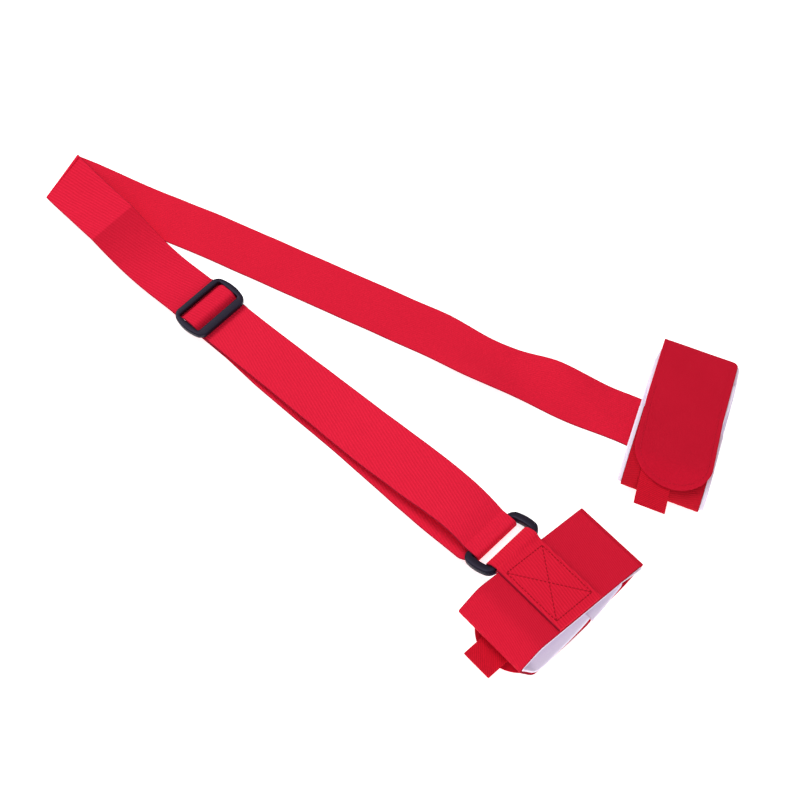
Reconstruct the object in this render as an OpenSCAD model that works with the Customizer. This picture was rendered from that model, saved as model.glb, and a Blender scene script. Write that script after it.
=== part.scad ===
// Two-cuff carrying strap: a long webbing sling with a padded hook-and-loop cuff at each end.
// It lies on a table, folded over once at the shoulder, so that its two legs form a V.
// Units are millimetres. +X runs down the leg that carries the slider, +Z is up and the table is z = 0.
// The origin is on the table, under the middle of the shoulder fold.

/* [Webbing] */
// Width of the strap webbing
web_w = 50; // [44:1:50]
// Thickness of one layer of strap webbing
web_t = 1.4; // [1.2:0.1:1.4]
// Height of the rounded shoulder fold, over its outer faces
fold_h = 14; // [12:1:18]

/* [Layout] */
// Distance from the shoulder fold to the slider
slider_x = 208; // [190:1:220]
// Distance from the shoulder fold to the middle of the ring
ring_x = 562; // [540:1:580]
// How far the slider lies to the side of the line from fold to ring
slider_y = -6.5; // [-10:0.5:0]
// Direction of the long straight leg to the second cuff, in degrees from +X
leg_yaw = 15.9; // [12:0.1:20]
// How far that leg's straight line passes beside the fold's centre
leg_shift = 12.8; // [8:0.1:14]
// Length of that leg, from the fold to the edge of its cuff
leg_len = 592; // [560:1:600]

/* [Slider] */
// Slider size along the strap
slider_l = 39; // [38:1:42]
// Slider size across the strap
slider_w = 63; // [62:1:68]
// Thickness of the slider's frame
slider_t = 4.8; // [4.5:0.1:5.2]
// Width of the slider's bar on the fold side
thin_bar = 4.5; // [4:0.1:5]
// Width of the slider's bar on the ring side
broad_bar = 7; // [6.5:0.1:7]

/* [Ring] */
// Ring size along the strap
ring_l = 32; // [31:0.5:34]
// Ring size across the strap
ring_w = 63.5; // [62:0.5:66]
// Diameter of the ring's two long bars
ring_d = 5.5; // [5:0.1:5.6]
// Angle by which the ring rises towards its cuff
ring_tilt = 18; // [16:1:20]
// Angle by which the ring leans across the strap
ring_roll = -5; // [-6:1:-4]

/* [Cuffs] */
// Width of the band that forms a cuff
cuff_w = 70; // [66:1:72]
// Length of the first cuff, laid flat, from its blunt end to its narrow end
cuff_a_len = 146; // [142:1:156]
// Length of the second cuff, measured in the same way
cuff_b_len = 161; // [150:1:166]
// Height of a cuff near its blunt end
cuff_h = 29; // [28:1:30]
// Thickness of a cuff's outer band
shell_t = 1.5; // [1.3:0.1:1.5]
// Thickness of a cuff's foam lining
foam_t = 2.5; // [2:0.1:2.6]
// Width of the closing flap
flap_w = 67; // [62:1:70]
// Depth of the flap's rounded end
flap_round = 30; // [26:1:34]
// Width of the small pull tab at a cuff's blunt end
pull_w = 28; // [20:1:32]

/* [Hidden] */
$fn = 48;

red = [0.82, 0.08, 0.19];
dark_red = [0.70, 0.06, 0.16];
white = [0.86, 0.84, 0.92];
black = [0.11, 0.10, 0.13];

gap = 0.05;           // clearance between layers that lie on each other
table_gap = 2.0;      // height of the slider's lowest layer, enough to pass over the long leg
fold_gap = 0.15;      // the same where flat webbing meets the rounded fold
fold_r = (fold_h - web_t) / 2;
fold_yaw = leg_yaw / 2;
slider_z = table_gap + 3 * web_t + 4 * gap;
run_yaw = atan2(-slider_y, ring_x - slider_x);
slider_leg_yaw = atan2(slider_y, slider_x);
slider_leg_len = norm([slider_x, slider_y]);

// Places in the slider's own frame, where x = 0 is the middle of the slider
mid_bar_x = (thin_bar - broad_bar) / 2;
mid_bar_w = 7;
mid_bar_t = 2.8;
bend_x = slider_l / 2 + 4;
under_z = slider_z - web_t / 2 - 2 * gap;
loop_z = slider_z + mid_bar_t + web_t / 2 + 2 * gap;
over_z = loop_z + web_t + gap;
tail_z = table_gap + 1.5 * web_t + gap;
sewn_z = table_gap + web_t / 2;
tail_x = 38;

// Places of the ring's two bars
bar_r = ring_d / 2;
bar_pitch = ring_l - ring_d;
strap_bar = [ring_x - bar_pitch / 2 * cos(ring_tilt), 0, 7.5];
bight_r = bar_r + 0.35 + web_t / 2;
bight_reach = 3.7;
bight_back = 8;

// Cuff profile, in the plane of its length (u, from the blunt end) and height (z)
nose_u = 23;
nose_z = 16;
heel_u = 21;
tip_z = 3.6;
lap = 3.6;            // height that the flap and its patches take over the band's end
lap_end = 78;         // where the band's end stops under the flap
butt_back = 45;       // distance from the narrow end to the flap's hinge line
butt_gap = 0.3;
foam_back = 23.4;     // distance from the narrow end to where the lining turns back
patch_t = 0.9;
patch_from = 28;
patch_to = 76;
pull_t = 2.2;
pull_gap = 1.8;
stitch_t = 0.3;
stitch_w = 0.9;
stitch_in = 6.5;
cuff_b_z = web_t + 2 * gap;
tab_u = 69.5;         // where the middle of the ring's tab lies along the first cuff
tab_len = 69;
strap_u = 69.3;       // where the middle of the long leg lies along the second cuff
cuff_a_at = [579.8 + ring_x - 562, -71.2, 0];
cuff_a_yaw = -3.7;
cuff_b_yaw = 22.5;
cuff_b_edge_gap = 3.8;

// ---- paths and bands ----

function unit(v) = v / norm(v);
function left(v) = [-v[1], v[0]];
function way(p, i) = unit(p[i + 1] - p[i]);

// Normal at point i of a path, lengthened so that a band round a corner keeps its thickness
function mitre(p, i) =
    let (a = left(way(p, max(i - 1, 0))), b = left(way(p, min(i, len(p) - 2))))
    (a + b) / (1 + a * b);

// Signed angle by which a path turns at its inner point i
function turn(p, i) =
    let (a = way(p, i - 1), b = way(p, i))
    atan2(a[0] * b[1] - a[1] * b[0], a * b);

// One corner of a path as a curve that starts and ends a cut length from it
function corner(a, b, c, cut, n) =
    let (
        s = b + min(cut, 0.49 * norm(a - b)) * unit(a - b),
        e = b + min(cut, 0.49 * norm(c - b)) * unit(c - b)
    )
    [for (i = [0 : n]) let (t = i / n) (1 - t) * (1 - t) * s + 2 * t * (1 - t) * b + t * t * e];

// A path moved sideways, with its corners rounded so that all its parallels stay parallel
function beside(p, off, cut, n) =
    let (
        q = [for (i = [0 : len(p) - 1]) p[i] + off * mitre(p, i)],
        cuts = [for (i = [1 : len(p) - 2]) max(0.1, cut - off * tan(turn(p, i) / 2))]
    )
    cut == 0 ? q : concat(
        [q[0]],
        [for (i = [1 : len(p) - 2]) each corner(q[i - 1], q[i], q[i + 1], cuts[i - 1], n)],
        [q[len(p) - 1]]
    );

// A path with its inner corners rounded
function soft(p, cut, n = 4) = beside(p, 0, cut, n);

// Closed outline of a strip that lies between two offsets from a path
function band(p, from, to, cut = 0, n = 4) =
    let (back = beside(p, to, cut, n))
    concat(beside(p, from, cut, n), [for (i = [len(back) - 1 : -1 : 0]) back[i]]);

// A strip of webbing: a path in the vertical plane, with its corners rounded, given a width
module strip(path, width, cut = 0, n = 4) {
    rotate([90, 0, 0])
        linear_extrude(width, center = true)
            polygon(band(path, -web_t / 2, web_t / 2, cut, n));
}

// The same across a cuff, for any layer, given by a path and two offsets from it
module cuff_strip(path, from, to, width, cut = 0, n = 4) {
    rotate([90, 0, 90])
        linear_extrude(width, center = true)
            polygon(band(path, from, to, cut, n));
}

// Outline of a plastic frame with straight long sides and bowed ends
function bowed(l, w, bow, n = 6) = concat(
    [[l / 2, 0]],
    [for (i = [n : -1 : -n]) [l / 2 * i / n, w / 2 - bow * pow(i / n, 2)]],
    [for (i = [-n : n]) [l / 2 * i / n, -w / 2 + bow * pow(i / n, 2)]]
);

// ---- frames of the moving groups ----

module at_slider() {
    translate([slider_x, slider_y, 0]) rotate(run_yaw) children();
}

module at_strap_bar() {
    translate(strap_bar) rotate([ring_roll, 0, 0]) children();
}

module at_tab_bar() {
    at_strap_bar()
        translate([bar_pitch * cos(ring_tilt), 0, bar_pitch * sin(ring_tilt)]) children();
}

module at_cuff_a() {
    translate(cuff_a_at) rotate(cuff_a_yaw) translate([cuff_w / 2, 0, 0]) children();
}

module at_cuff_b() {
    translate([leg_end[0], leg_end[1], cuff_b_z])
        rotate(cuff_b_yaw)
            translate([cuff_b_edge_gap + cuff_w / 2, -strap_u, 0])
                children();
}

// ---- the long leg, from the shoulder fold to the second cuff ----

leg_way = [cos(leg_yaw), sin(leg_yaw)];
function leg_at(s) = s * leg_way + leg_shift * cos(leg_yaw) * left(leg_way);
leg_end = leg_at(leg_len);
leg_path = soft([[0, 0], 45 * leg_way, leg_at(125), leg_at(leg_len + 60)], 40);
end_path = [leg_at(leg_len - 20), leg_at(leg_len + 64)];

// Everything on one side of the line where the long leg meets its cuff
module beside_cuff_b(side, clear) {
    translate([leg_end[0], leg_end[1], -1])
        rotate(cuff_b_yaw)
            translate([side > 0 ? clear : -clear - 2 * leg_len, -leg_len, 0])
                cube([2 * leg_len, 2 * leg_len, web_t + 2]);
}

module webbing_long_leg() {
    color(red)
        intersection() {
            linear_extrude(web_t) polygon(band(leg_path, -web_w / 2, web_w / 2));
            rotate(fold_yaw)
                translate([fold_gap, -leg_len, -1]) cube([2 * leg_len, 2 * leg_len, web_t + 2]);
            beside_cuff_b(-1, 0.5);
        }
}

module webbing_cuff_b_end() {
    color(red)
        intersection() {
            linear_extrude(web_t) polygon(band(end_path, -web_w / 2, web_w / 2));
            beside_cuff_b(1, 0.5);
        }
}

module webbing_shoulder_fold() {
    turn = [for (i = [0 : 16]) let (a = -90 - 180 * i / 16)
        [fold_r * cos(a), fold_r * sin(a) + fold_r + web_t / 2]];
    color(red)
        rotate(fold_yaw) strip(turn, web_w / cos(fold_yaw));
}

module webbing_slider_leg() {
    top = fold_h - web_t / 2;
    kink_gap = web_w / 2 * sin(run_yaw - slider_leg_yaw) + 0.1;
    path = [
        [-web_w / 4, top],
        [0, top],
        [50, fold_h],
        [120, under_z + 2],
        [150, under_z],
        [slider_leg_len - bend_x - kink_gap, under_z]
    ];
    color(red)
        difference() {
            rotate(slider_leg_yaw) strip(path, web_w, 14);
            rotate(fold_yaw)
                translate([fold_gap - 4 * web_w, -2 * web_w, -1])
                    cube([4 * web_w, 4 * web_w, fold_h + 2]);
        }
}

// ---- the slider and the webbing threaded through it ----

module slider() {
    open_l = slider_l - thin_bar - broad_bar;
    open_w = web_w + 2;
    color(black)
        at_slider()
            translate([0, 0, slider_z]) {
                difference() {
                    linear_extrude(slider_t) polygon(soft(bowed(slider_l, slider_w, 4.5), 3));
                    translate([mid_bar_x - open_l / 2, -open_w / 2, -1])
                        cube([open_l, open_w, slider_t + 2]);
                }
                translate([mid_bar_x - mid_bar_w / 2, -open_w / 2 - 1, 0])
                    cube([mid_bar_w, open_w + 2, mid_bar_t]);
            }
}

module webbing_slider_bend() {
    left_x = mid_bar_x - mid_bar_w / 2;
    right_x = mid_bar_x + mid_bar_w / 2;
    path = [
        [-bend_x, under_z],
        [-slider_l / 2 + thin_bar + 1.6, under_z],
        [left_x - 2.9, loop_z + 1.2],
        [left_x - 0.6, over_z],
        [right_x + 1.8, over_z],
        [right_x + 5, loop_z - 1.6],
        [slider_l / 2 - broad_bar - 2.6, under_z + 0.3],
        [slider_l / 2 - broad_bar - 0.3, under_z],
        [bend_x, under_z]
    ];
    color(red) at_slider() strip(path, web_w, 2);
}

module webbing_sewn_end() {
    left_x = mid_bar_x - mid_bar_w / 2;
    right_x = mid_bar_x + mid_bar_w / 2;
    path = [
        [tail_x + 6, sewn_z],
        [right_x + 4.2, sewn_z],
        [right_x + 0.6, under_z],
        [left_x - 0.85, under_z],
        [left_x - 0.85, loop_z],
        [right_x + 0.7, loop_z],
        [right_x + 2.9, loop_z - 2.6],
        [right_x + 5.4, tail_z],
        [tail_x, tail_z]
    ];
    color(red) at_slider() strip(path, web_w, 1.2);
}

// A row of short raised threads between two points, on the plane z = 0
module stitches(a, b, pitch = 4) {
    run = norm(b - a);
    n = max(1, floor(run / pitch));
    for (i = [0 : n - 1])
        translate(a + (i + 0.5) / n * (b - a))
            rotate(atan2(b[1] - a[1], b[0] - a[0]))
                translate([-0.34 * run / n, -stitch_w / 2, 0])
                    cube([0.68 * run / n, stitch_w, stitch_t]);
}

module sewn_end_stitching() {
    color(dark_red)
        at_slider()
            translate([0, 0, sewn_z - web_t / 2 - stitch_t - gap])
                for (x = [24, 33])
                    stitches([x, -web_w / 2 + 4], [x, web_w / 2 - 4]);
}

// ---- the doubled leg between the slider and the ring ----

run_len = norm([strap_bar[0] - slider_x, slider_y]);
bight_gap = web_w / 2 * sin(run_yaw) + 0.35;

module webbing_front_run() {
    top = strap_bar[2] + bight_r;
    path = [
        [bend_x + gap, under_z],
        [70, under_z + 1.6],
        [190, 18],
        [270, 23.5],
        [run_len - 30, 18.5],
        [run_len - bight_back - bight_gap, top]
    ];
    color(red) at_slider() strip(path, web_w, 36, 6);
}

module webbing_return_run() {
    low = strap_bar[2] - bight_r;
    path = [
        [tail_x + 6 + gap, sewn_z],
        [90, sewn_z],
        [150, web_t / 2 + 0.3],
        [run_len - 80, web_t / 2 + 0.3],
        [run_len - bight_back - bight_gap, low]
    ];
    color(red) at_slider() strip(path, web_w, 30);
}

module webbing_ring_bight() {
    turn = [for (i = [0 : 12]) let (a = 90 - 180 * i / 12)
        [bight_reach + bight_r * cos(a), bight_r * sin(a)]];
    path = concat([[-bight_back, bight_r]], turn, [[-bight_back, -bight_r]]);
    color(red) at_strap_bar() strip(path, web_w);
}

// ---- the ring ----

module ring() {
    rail_t = ring_d + 0.4;
    opening = web_w + 3;
    color(black)
        at_strap_bar()
            rotate([0, -ring_tilt, 0]) {
                for (x = [0, bar_pitch])
                    translate([x, 0, 0])
                        rotate([90, 0, 0]) cylinder(d = ring_d, h = opening + 4, center = true);
                translate([bar_pitch / 2, 0, -rail_t / 2])
                    linear_extrude(rail_t)
                        difference() {
                            polygon(soft(bowed(ring_l + 0.6, ring_w, 3.4), 3));
                            square([2 * ring_l, opening], center = true);
                        }
            }
}

// ---- the webbing tab that ties the ring to the first cuff ----

function top_z(len, u) = tip_z + (cuff_h - tip_z) * (len - u) / (len - nose_u);
function top_slope(len) = atan2(cuff_h - tip_z, len - nose_u);

// Places children on the sloping top of the first cuff, under the middle of the tab
module on_cuff_a_top() {
    at_cuff_a()
        translate([-cuff_w / 2, tab_u, top_z(cuff_a_len, tab_u) + gap])
            rotate([-top_slope(cuff_a_len), 0, 0])
                children();
}

module ring_tab_loop() {
    r = bar_r + 1.2;
    loop = [
        [7.0, 5.6],
        [2, 5.4],
        [-4.5, r - 0.4],
        [-7.3, -0.8],
        [-5.5, -r - 0.3],
        [-1, -r - 0.5],
        [3.3, -r + 0.6],
        [5.6, 0.6],
        [7.0, 3.2]
    ];
    color(red) at_tab_bar() strip(loop, web_w, 2);
}

module ring_tab() {
    color(red) on_cuff_a_top() translate([0, -web_w / 2, 0]) cube([tab_len, web_w, 2 * web_t]);
}

module box_and_cross(x0, x1, half) {
    corners = [[x0, -half], [x1, -half], [x1, half], [x0, half]];
    for (i = [0 : 3])
        stitches(corners[i], corners[(i + 1) % 4]);
    for (i = [0, 1])
        let (mid = (corners[i] + corners[i + 2]) / 2, reach = 0.92)
            for (end = [corners[i], corners[i + 2]])
                stitches(mid + (1 - reach) * (end - mid), mid + reach * (end - mid));
}

module ring_tab_stitching() {
    color(dark_red)
        on_cuff_a_top()
            translate([0, 0, 2 * web_t + gap])
                box_and_cross(6, tab_len - stitch_in, web_w / 2 - stitch_in);
}

// ---- cuffs ----

// Outer face of the band, from the hinge line round the narrow end and the blunt end to the
// band's own end under the flap. In the first cuff the flap is below, in the second it is on top.
function band_below(len, back) = [
    [len - butt_back, 0],
    [len - back, 0],
    [len - back, top_z(len, len - back)],
    [nose_u, cuff_h],
    [0, nose_z],
    [heel_u + 3, lap],
    [lap_end, lap]
];

function band_above(len, back) = [
    [len - butt_back, top_z(len, len - butt_back)],
    [len - back, top_z(len, len - back)],
    [len - back, 0],
    [heel_u, 0],
    [0, nose_z],
    [nose_u + 1.5, cuff_h - lap - 0.3],
    [lap_end, top_z(len, lap_end) - lap]
];
band_cut = 6;

// Height of the outer face of the band's lapped end, and of the flap over it
function lapped_z(side, len, u) = side > 0 ? lap : top_z(len, u) - lap;
function flap_z(side, len, u) = side > 0 ? 0 : top_z(len, u);

// side is 1 where the flap closes below the cuff, and -1 where it closes on top
module lining(side, path, width) {
    face = shell_t + 2 * gap;
    color(white) cuff_strip(path, side * face, side * (face + foam_t), width, band_cut);
}

module loop_patch(side, len) {
    path = [for (u = [patch_from, patch_to]) [u, lapped_z(side, len, u)]];
    color(dark_red) cuff_strip(path, -side * gap, -side * (gap + patch_t), flap_w - 4);
}

module hook_patch(side, len) {
    face = shell_t + gap;
    path = [for (u = [patch_from, patch_to]) [u, flap_z(side, len, u)]];
    color(dark_red)
        intersection() {
            cuff_strip(path, side * face, side * (face + patch_t), flap_w - 4);
            flap_outline(patch_from, flap_w - 4);
        }
}

module flap_lining(side, len, width) {
    face = shell_t + 2 * gap;
    path = [for (u = [lap_end + 1.5, len - butt_back - 1.5]) [u, flap_z(side, len, u)]];
    color(white) cuff_strip(path, side * face, side * (face + foam_t), width);
}

// Upright prism in the plan of the flap, whose rounded end starts at end_u
module flap_outline(end_u, width) {
    arc = [for (i = [0 : 24]) let (a = 180 + 180 * i / 24)
        [width / 2 * cos(a), end_u + flap_round * (1 + sin(a))]];
    translate([0, 0, -1])
        linear_extrude(cuff_h + 4)
            polygon(concat(arc, [[width / 2, cuff_b_len], [-width / 2, cuff_b_len]]));
}

// The whole folded pull tab as a path of its face next to the band
pull_a_way = [[heel_u + 1, 4.2], [14, 8.4], [-17, 6.2]];
pull_b_way = [[nose_u - 2, 24], [2, 17], [-12, 11.8]];
pull_a_x = 6.5;
pull_b_x = -5.2;
pull_a_cut = 10;
pull_b_cut = 3;

// One part of a pull tab: the sewn root beyond the cut, or the free tab before it
module pull_part(side, path, x, cut, free) {
    color(red)
        translate([x, 0, 0])
            intersection() {
                cuff_strip(path, 0, pull_t * side, pull_w, 5);
                translate([-pull_w, free ? cut - pull_gap - 60 : cut, 0])
                    cube([2 * pull_w, 60, cuff_h]);
            }
}

module cuff_a_shell() {
    color(red) at_cuff_a() cuff_strip(band_below(cuff_a_len, 0), 0, shell_t, cuff_w, band_cut);
}

module cuff_a_lining() {
    at_cuff_a() lining(1, band_below(cuff_a_len, foam_back), cuff_w - 1);
}

module cuff_a_loop_patch() {
    at_cuff_a() loop_patch(1, cuff_a_len);
}

module cuff_a_pull_root() {
    at_cuff_a() pull_part(1, pull_a_way, pull_a_x, pull_a_cut, false);
}

module cuff_a_pull_tab() {
    at_cuff_a() pull_part(1, pull_a_way, pull_a_x, pull_a_cut, true);
}

flap_a_end = -4;

module cuff_a_flap() {
    path = [[flap_a_end, 0], [cuff_a_len - butt_back - butt_gap, 0]];
    color(dark_red)
        at_cuff_a()
            intersection() {
                cuff_strip(path, 0, shell_t, flap_w);
                flap_outline(flap_a_end, flap_w);
            }
}

module cuff_a_flap_lining() {
    at_cuff_a() flap_lining(1, cuff_a_len, cuff_w - 2);
}

module cuff_a_hook_patch() {
    at_cuff_a() hook_patch(1, cuff_a_len);
}

module cuff_b_shell() {
    color(red) at_cuff_b() cuff_strip(band_above(cuff_b_len, 0), -shell_t, 0, cuff_w, band_cut);
}

module cuff_b_lining() {
    at_cuff_b() lining(-1, band_above(cuff_b_len, foam_back), cuff_w + 3);
}

module cuff_b_loop_patch() {
    at_cuff_b() loop_patch(-1, cuff_b_len);
}

module cuff_b_pull_root() {
    at_cuff_b() pull_part(-1, pull_b_way, pull_b_x, pull_b_cut, false);
}

module cuff_b_pull_tab() {
    at_cuff_b() pull_part(-1, pull_b_way, pull_b_x, pull_b_cut, true);
}

flap_b_end = 8;
flap_b_butt = cuff_b_len - butt_back - butt_gap;
flap_b_way = [
    [flap_b_end - 2, 23.4],
    [nose_u, cuff_h + 0.3],
    [flap_b_butt, top_z(cuff_b_len, flap_b_butt)]
];

module cuff_b_flap() {
    color(dark_red)
        at_cuff_b()
            intersection() {
                cuff_strip(flap_b_way, -shell_t, 0, flap_w, 8, 6);
                flap_outline(flap_b_end, flap_w);
            }
}

module cuff_b_flap_lining() {
    at_cuff_b() flap_lining(-1, cuff_b_len, cuff_w + 2);
}

module cuff_b_hook_patch() {
    at_cuff_b() hook_patch(-1, cuff_b_len);
}

// One row of stitching round the flap's edge
module flap_b_stitching() {
    inset = 4.5;
    color(dark_red)
        at_cuff_b()
            intersection() {
                cuff_strip(flap_b_way, gap, gap + stitch_t, flap_w, 8, 6);
                difference() {
                    flap_outline(flap_b_end + inset, flap_w - 2 * inset);
                    flap_outline(flap_b_end + inset + stitch_w, flap_w - 2 * (inset + stitch_w));
                    translate([-flap_w, cuff_b_len - butt_back - 8, -2])
                        cube([2 * flap_w, cuff_b_len, 2 * cuff_h]);
                }
            }
}

webbing_long_leg();
webbing_cuff_b_end();
webbing_shoulder_fold();
webbing_slider_leg();
slider();
webbing_slider_bend();
webbing_sewn_end();
sewn_end_stitching();
webbing_front_run();
webbing_return_run();
webbing_ring_bight();
ring();
ring_tab_loop();
ring_tab();
ring_tab_stitching();
cuff_a_shell();
cuff_a_lining();
cuff_a_loop_patch();
cuff_a_pull_root();
cuff_a_pull_tab();
cuff_a_flap();
cuff_a_flap_lining();
cuff_a_hook_patch();
cuff_b_shell();
cuff_b_lining();
cuff_b_loop_patch();
cuff_b_pull_root();
cuff_b_pull_tab();
cuff_b_flap();
cuff_b_flap_lining();
cuff_b_hook_patch();
flap_b_stitching();
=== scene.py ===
"""Looks of the two-cuff carrying strap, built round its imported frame.

Shapes are worked out in millimetres in the row's frame and written to meshes in metres.
"""

import math

import bpy
import numpy as np
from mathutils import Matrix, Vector


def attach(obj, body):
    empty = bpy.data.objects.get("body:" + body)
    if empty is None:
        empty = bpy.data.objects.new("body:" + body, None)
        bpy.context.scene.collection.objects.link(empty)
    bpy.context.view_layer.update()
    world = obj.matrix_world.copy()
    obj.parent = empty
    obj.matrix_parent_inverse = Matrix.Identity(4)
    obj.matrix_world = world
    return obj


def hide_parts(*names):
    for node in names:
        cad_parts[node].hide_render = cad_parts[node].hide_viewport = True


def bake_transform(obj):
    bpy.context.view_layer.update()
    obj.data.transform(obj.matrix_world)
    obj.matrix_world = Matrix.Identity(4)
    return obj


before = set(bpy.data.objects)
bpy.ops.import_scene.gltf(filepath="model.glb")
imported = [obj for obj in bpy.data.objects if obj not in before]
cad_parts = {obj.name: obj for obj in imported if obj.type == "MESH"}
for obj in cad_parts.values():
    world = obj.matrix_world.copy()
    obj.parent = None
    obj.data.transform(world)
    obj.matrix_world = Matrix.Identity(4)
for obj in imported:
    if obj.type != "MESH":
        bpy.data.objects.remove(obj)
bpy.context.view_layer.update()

MM = 0.001

# ---- sizes of the CAD frame, in millimetres and degrees ----

# webbing, slider and ring
WEB_W, WEB_T = 50.0, 1.4
SLIDER_AT = (208.0, -6.5)
SLIDER_L, SLIDER_W, SLIDER_T, SLIDER_Z = 39.0, 63.0, 4.8, 6.4
THIN_BAR, BROAD_BAR = 4.5, 7.0
MID_BAR_X = (THIN_BAR - BROAD_BAR) / 2
RING_X = 562.0
RING_L, RING_W, RING_D = 32.0, 63.5, 5.5
RING_TILT, RING_ROLL = 18.0, -5.0
BAR_PITCH = RING_L - RING_D
STRAP_BAR = np.array([RING_X - BAR_PITCH / 2 * math.cos(math.radians(RING_TILT)), 0.0, 7.5])

# the long leg, and the doubled leg from the slider to the ring
LEG_YAW, LEG_SHIFT, LEG_LEN = 15.9, 12.8, 592.0
FOLD_YAW = LEG_YAW / 2
RUN_YAW = math.degrees(math.atan2(-SLIDER_AT[1], RING_X - SLIDER_AT[0]))
RUN_LEN = math.hypot(STRAP_BAR[0] - SLIDER_AT[0], SLIDER_AT[1])

# heights of the webbing at the slider, and where it becomes level beside it
UNDER_Z, LOOP_Z, OVER_Z = 5.6, 10.0, 11.45
SEWN_Z, TAIL_Z = 2.7, 4.15
BEND_X = SLIDER_L / 2 + 4

# the cuffs; u runs along each one from its blunt end to its narrow end
CUFF_W, CUFF_H, SHELL_T, FOAM_T = 70.0, 29.0, 1.5, 2.5
CUFF_A_LEN, CUFF_B_LEN = 146.0, 161.0
CUFF_A_AT, CUFF_A_YAW = (579.8, -71.2, 0), -3.7
CUFF_B_YAW, CUFF_B_Z = 22.5, WEB_T + 0.1
CUFF_B_X, CUFF_B_Y = 3.8 + CUFF_W / 2, -69.3
NOSE_U, NOSE_Z, TIP_Z = 23.0, 16.0, 3.6
LAP, LAP_END = 3.6, 78.0
BUTT_BACK, FOAM_BACK = 45.0, 23.4
FLAP_W, FLAP_ROUND = 67.0, 30.0
PULL_W = 28.0
TAB_U, TAB_LEN = 69.5, 69.0

# ---- how the strap and the cuffs lie, less evenly than in the frame ----

FOLD_BACK, FOLD_RISE, TURN_LEN = -7.4, 13.0, 5.0
FOLD_NEAR_Z, FOLD_FAR_Z = 3.3, 17.0
CREASE_X, HANDOVER_X = 71.0, 66.0
DRIFT, SKEW = -8.4, 0.95
BIGHT_R, BIGHT_X, BIGHT_BACK = RING_D / 2 + 0.35 + WEB_T / 2, 4.2, 8.0
CUFF_A_WIDER, CUFF_A_LONGER, CUFF_A_SLIP = 0.03, 0.036, 6.6
CUFF_B_SKEW, CUFF_B_CHAMFER = 0.035, 4.5
FLAP_B_W = FLAP_W + 3
STITCH_IN = 4.6
LINING_TIP_OFF = 1.6


# ---- geometry helpers ----


def unit(v):
    return v / np.linalg.norm(v)


def left(v):
    return np.array([-v[1], v[0]])


def way(deg):
    return np.array([math.cos(math.radians(deg)), math.sin(math.radians(deg))])


def ease(t):
    t = np.clip(t, 0.0, 1.0)
    return t * t * (3 - 2 * t)


def hump(x, centre, reach):
    """A smooth rise and fall of height 1 round a centre."""
    return 0.5 + 0.5 * np.cos(math.pi * np.clip((x - centre) / reach, -1, 1))


def turned(at, yaw=0.0, roll=0.0, pitch=0.0):
    """A function that takes points from a turned frame at a place to the row's frame."""
    a, b, c = (math.radians(d) for d in (yaw, roll, pitch))
    rz = np.array([[math.cos(a), -math.sin(a), 0], [math.sin(a), math.cos(a), 0], [0, 0, 1]])
    rx = np.array([[1, 0, 0], [0, math.cos(b), -math.sin(b)], [0, math.sin(b), math.cos(b)]])
    ry = np.array([[math.cos(c), 0, math.sin(c)], [0, 1, 0], [-math.sin(c), 0, math.cos(c)]])
    r = rz @ rx @ ry
    return lambda p: np.asarray(p) @ r.T + np.asarray(at, float)


def rounded(points, cut, off=0.0, n=8):
    """A plane path moved sideways, its corners rounded so that all its parallels stay parallel."""
    p = np.array(points, float)
    cuts = cut if hasattr(cut, "__len__") else [cut] * (len(p) - 2)
    ways = [unit(b - a) for a, b in zip(p, p[1:])]
    q = []
    for i in range(len(p)):
        a, b = left(ways[max(i - 1, 0)]), left(ways[min(i, len(p) - 2)])
        q.append(p[i] + off * (a + b) / (1 + a @ b))
    out = [q[0]]
    for i in range(1, len(p) - 1):
        a, b = ways[i - 1], ways[i]
        turn = math.atan2(a[0] * b[1] - a[1] * b[0], a @ b)
        c = max(0.1, cuts[i - 1] - off * math.tan(turn / 2))
        back, on = q[i - 1] - q[i], q[i + 1] - q[i]
        s = q[i] + min(c, 0.49 * np.linalg.norm(back)) * unit(back)
        e = q[i] + min(c, 0.49 * np.linalg.norm(on)) * unit(on)
        for t in np.linspace(0, 1, n + 1):
            out.append((1 - t) ** 2 * s + 2 * t * (1 - t) * q[i] + t * t * e)
    out.append(q[-1])
    return np.array(out)


def evenly(path, step):
    """The path in steps of about one length, and the distance run at each point."""
    path = np.asarray(path, float)
    run = np.concatenate([[0], np.cumsum(np.linalg.norm(np.diff(path, axis=0), axis=1))])
    keep = np.concatenate([[True], np.diff(run) > 1e-9])
    run, path = run[keep], path[keep]
    s = np.linspace(0, run[-1], max(2, int(round(run[-1] / step)) + 1))
    return np.column_stack([np.interp(s, run, path[:, k]) for k in range(path.shape[1])]), s


def ripple(x, y, seed):
    """A gentle unevenness between -1 and 1, the same each time for one seed."""
    rng = np.random.default_rng(seed)
    out = 0.0
    for _ in range(5):
        a, k, p = rng.uniform(0, 2 * math.pi), rng.uniform(0.04, 0.12), rng.uniform(0, 6.28)
        out = out + np.sin((x * math.cos(a) + y * math.sin(a)) * k * 2 + p)
    return out / 5


def build(name, verts, faces, uv, material):
    """A smooth mesh object from points in millimetres, with the cloth's own millimetres as UV."""
    mesh = bpy.data.meshes.new(name)
    mesh.from_pydata((np.asarray(verts) * MM).tolist(), [], faces)
    layer = mesh.uv_layers.new(name="weave")
    loops = np.empty(len(mesh.loops), np.int64)
    mesh.loops.foreach_get("vertex_index", loops)
    layer.data.foreach_set("uv", np.asarray(uv, float)[loops].astype(np.float32).ravel())
    mesh.materials.append(material)
    mesh.shade_smooth()
    mesh.set_sharp_from_angle(angle=math.radians(58))
    mesh.validate()
    obj = bpy.data.objects.new(name, mesh)
    bpy.context.scene.collection.objects.link(obj)
    return obj


def fix(piece, body, *nodes):
    """Fixes a piece to a body, in place of the nodes."""
    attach(piece, body)
    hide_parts(*nodes)


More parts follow.
